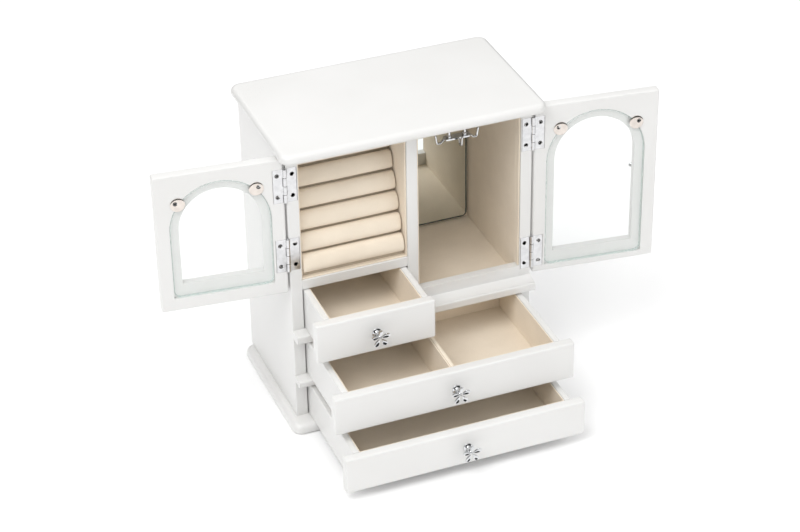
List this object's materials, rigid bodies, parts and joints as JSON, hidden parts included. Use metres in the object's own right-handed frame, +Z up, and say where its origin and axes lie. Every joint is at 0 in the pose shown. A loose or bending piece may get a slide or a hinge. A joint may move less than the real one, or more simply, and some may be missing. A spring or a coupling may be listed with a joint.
{
  "type": "jewellery chest",
  "caption": "White painted jewellery chest with glazed hinged doors over a ring display bay, a mirrored necklace bay and flower knobbed drawers",
  "frame": {"origin": "middle of the base board's underside, on the surface the chest stands on", "axes": "+Z up, the open front faces -Y, +X to the right seen from the front"},
  "size_m": [0.4826, 0.2764, 0.302],
  "materials": {
    "painted_wood": "satin white paint over wood fibre board",
    "painted_fibreboard": "thin hardboard painted white",
    "flannel": "warm beige brushed flannel",
    "card": "grey beige pressed card",
    "glass": "clear flat glass with pale green edges",
    "mirror": "silvered glass",
    "chrome": "bright chrome plate",
    "nickel": "nickel plate",
    "hinge_steel": "nickel plated steel, softly brushed",
    "screw_steel": "plain zinc plated steel"
  },
  "bodies": {
    "carcass": {"back_panel": "painted_fibreboard", "base_board": "painted_wood", "belt_moulding": "painted_wood", "carcass_hinge_leaves": "hinge_steel", "carcass_hinge_screws": "hinge_steel", "centre_divider": "painted_wood", "hinge_pins": "hinge_steel", "hook_posts": "chrome", "lower_shelf": "painted_wood", "middle_shelf": "painted_wood", "mirror": "mirror", "mirror_backing": "card", "necklace_bay_lining": "flannel", "necklace_hook": "chrome", "ring_bay_lining": "flannel", "ring_board": "card", "ring_rolls": "flannel", "side_panel_left": "painted_wood", "side_panel_right": "painted_wood", "top_board": "painted_wood", "upper_shelf": "painted_wood"},
    "door_left": {"door_left_clip_screws": "nickel", "door_left_clips": "nickel", "door_left_frame": "painted_wood", "door_left_glass": "glass", "door_left_hinge_leaves": "hinge_steel", "door_left_hinge_screws": "hinge_steel", "door_left_knob": "chrome", "door_left_knob_stud": "screw_steel"},
    "door_right": {"door_right_clip_screws": "nickel", "door_right_clips": "nickel", "door_right_frame": "painted_wood", "door_right_glass": "glass", "door_right_hinge_leaves": "hinge_steel", "door_right_hinge_screws": "hinge_steel", "door_right_knob": "chrome", "door_right_knob_stud": "screw_steel"},
    "drawer_1": {"drawer_1_back": "painted_wood", "drawer_1_bottom": "painted_fibreboard", "drawer_1_front": "painted_wood", "drawer_1_knob": "chrome", "drawer_1_knob_screw": "screw_steel", "drawer_1_lining": "flannel", "drawer_1_sides": "painted_wood"},
    "drawer_2": {"drawer_2_back": "painted_wood", "drawer_2_bottom": "painted_fibreboard", "drawer_2_divider": "flannel", "drawer_2_front": "painted_wood", "drawer_2_knob": "chrome", "drawer_2_knob_screw": "screw_steel", "drawer_2_lining": "flannel", "drawer_2_sides": "painted_wood"},
    "drawer_3": {"drawer_3_back": "painted_wood", "drawer_3_bottom": "painted_fibreboard", "drawer_3_front": "painted_wood", "drawer_3_knob": "chrome", "drawer_3_knob_screw": "screw_steel", "drawer_3_lining": "flannel", "drawer_3_sides": "painted_wood"}
  },
  "joints": [
    {"name": "door_left_hinge", "type": "hinge", "parent": "carcass", "child": "door_left", "pos_m": [-0.121, -0.05825, 0.2272], "axis": [0, 0, -1], "range_deg": [-186, 2]},
    {"name": "door_right_hinge", "type": "hinge", "parent": "carcass", "child": "door_right", "pos_m": [0.121, -0.05825, 0.1995], "axis": [0, 0, 1], "range_deg": [-173, 15]},
    {"name": "drawer_1_slide", "type": "slide", "parent": "carcass", "child": "drawer_1", "axis": [0, -1, 0], "range_m": [-0.052, 0.058]},
    {"name": "drawer_2_slide", "type": "slide", "parent": "carcass", "child": "drawer_2", "axis": [0, -1, 0], "range_m": [-0.095, 0.02]},
    {"name": "drawer_3_slide", "type": "slide", "parent": "carcass", "child": "drawer_3", "axis": [0, -1, 0], "range_m": [-0.121, 0]}
  ]
}
